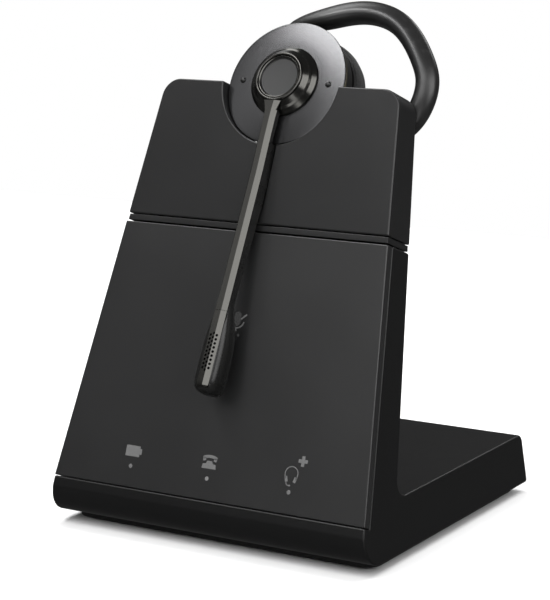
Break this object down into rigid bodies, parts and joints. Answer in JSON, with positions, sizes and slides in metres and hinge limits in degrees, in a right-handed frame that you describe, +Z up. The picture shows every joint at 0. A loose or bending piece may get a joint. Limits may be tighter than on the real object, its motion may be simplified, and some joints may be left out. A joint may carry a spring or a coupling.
{
  "type": "office headset",
  "caption": "Cordless one-ear office headset with a swivelling boom microphone and ear hook, standing in its charging base with a sloping touch panel.",
  "frame": {"origin": "on the table, under the middle of the charging base's overall width and depth", "axes": "+Z up, -Y towards the front of the base and its touch panel, +X to the right as seen from the front"},
  "size_m": [0.1026, 0.0966, 0.1444],
  "materials": {
    "body_black": "fine satin moulded plastic",
    "panel_black": "fine-textured satin plastic",
    "cap_black": "fine-textured satin plastic",
    "dark_plastic": "matte moulded plastic",
    "headset_black": "glossy moulded plastic",
    "boom_gunmetal": "gunmetal metallised plastic, polished",
    "disc_anodised": "fine-grained dark anodised aluminium",
    "bronze_trim": "dark bronze metallic",
    "leatherette": "soft black leatherette over foam",
    "soft_rubber": "matte soft rubber",
    "board_green": "green solder mask",
    "steel": "plated steel",
    "gold_contact": "gold plate",
    "clear_light": "clear light guide, unlit",
    "battery_wrap": "foil pouch"
  },
  "bodies": {
    "base": {"body_shell": "body_black", "bottom_plate": "dark_plastic", "base_screw_1": "steel", "base_screw_2": "steel", "base_screw_3": "steel", "base_screw_4": "steel", "rubber_foot_1": "soft_rubber", "rubber_foot_2": "soft_rubber", "rubber_foot_3": "soft_rubber", "rubber_foot_4": "soft_rubber", "main_board": "board_green", "board_screw_1": "steel", "board_screw_2": "steel", "phone_socket_1": "dark_plastic", "phone_socket_2": "dark_plastic", "power_inlet": "dark_plastic", "usb_socket": "steel", "ballast_plate": "steel", "touch_panel": "panel_black", "indicator_light_1": "clear_light", "indicator_light_2": "clear_light", "indicator_light_3": "clear_light", "indicator_light_4": "clear_light", "touch_board": "board_green", "antenna": "gold_contact", "seam_band": "cap_black", "dock_cap": "cap_black", "cap_screw_1": "steel", "cap_screw_2": "steel", "contact_carrier": "dark_plastic", "contact_board": "board_green", "dock_magnet": "steel"},
    "left_pin": {"contact_pin_1": "gold_contact"},
    "right_pin": {"contact_pin_2": "gold_contact"},
    "boom": {"boom_arm": "boom_gunmetal", "mic_capsule": "headset_black", "mic_element_1": "steel", "mic_element_2": "steel", "mic_wind_screen_1": "soft_rubber", "mic_wind_screen_2": "soft_rubber"},
    "earpiece": {"front_housing": "headset_black", "trim_ring": "bronze_trim", "boom_retaining_ring": "steel", "button_guide": "dark_plastic", "charging_contact_1": "gold_contact", "charging_contact_2": "gold_contact", "rear_housing": "headset_black", "speaker_grille": "steel", "speaker_basket": "steel", "speaker_magnet": "steel", "speaker_diaphragm": "dark_plastic", "headset_board": "board_green", "dome_switch": "steel", "battery": "battery_wrap", "ear_cushion": "leatherette"},
    "rocker": {"volume_rocker": "disc_anodised"},
    "button": {"call_button": "dark_plastic"},
    "hook": {"hook_collar": "headset_black", "ear_hook": "soft_rubber"}
  },
  "joints": [
    {"name": "headset_lift", "type": "slide", "parent": "base", "child": "boom", "axis": [0, 0.356, 0.9345], "range_m": [0, 0.13]},
    {"name": "boom_swivel", "type": "hinge", "parent": "boom", "child": "earpiece", "pos_m": [0, -0.00341, 0.12286], "axis": [0, -0.8763, 0.4817], "range_deg": [-8, 42]},
    {"name": "hook_swivel", "type": "hinge", "parent": "earpiece", "child": "hook", "pos_m": [0, -0.00341, 0.12286], "axis": [0, -0.8763, 0.4817], "range_deg": [-5, 20]},
    {"name": "volume_rock", "type": "hinge", "parent": "earpiece", "child": "rocker", "pos_m": [0, -0.00227, 0.12223], "axis": [0, 0.4817, 0.8763], "range_deg": [-1.5, 1.5], "stiffness_Nm_per_rad": 0.3},
    {"name": "call_button_press", "type": "slide", "parent": "earpiece", "child": "button", "axis": [0, 0.8763, -0.4817], "range_m": [0, 0.0004], "stiffness_N_per_m": 500},
    {"name": "left_pin_press", "type": "slide", "parent": "base", "child": "left_pin", "axis": [0, -0.4817, -0.8763], "range_m": [0, 0.0006], "stiffness_N_per_m": 300},
    {"name": "right_pin_press", "type": "slide", "parent": "base", "child": "right_pin", "axis": [0, -0.4817, -0.8763], "range_m": [0, 0.0006], "stiffness_N_per_m": 300}
  ]
}
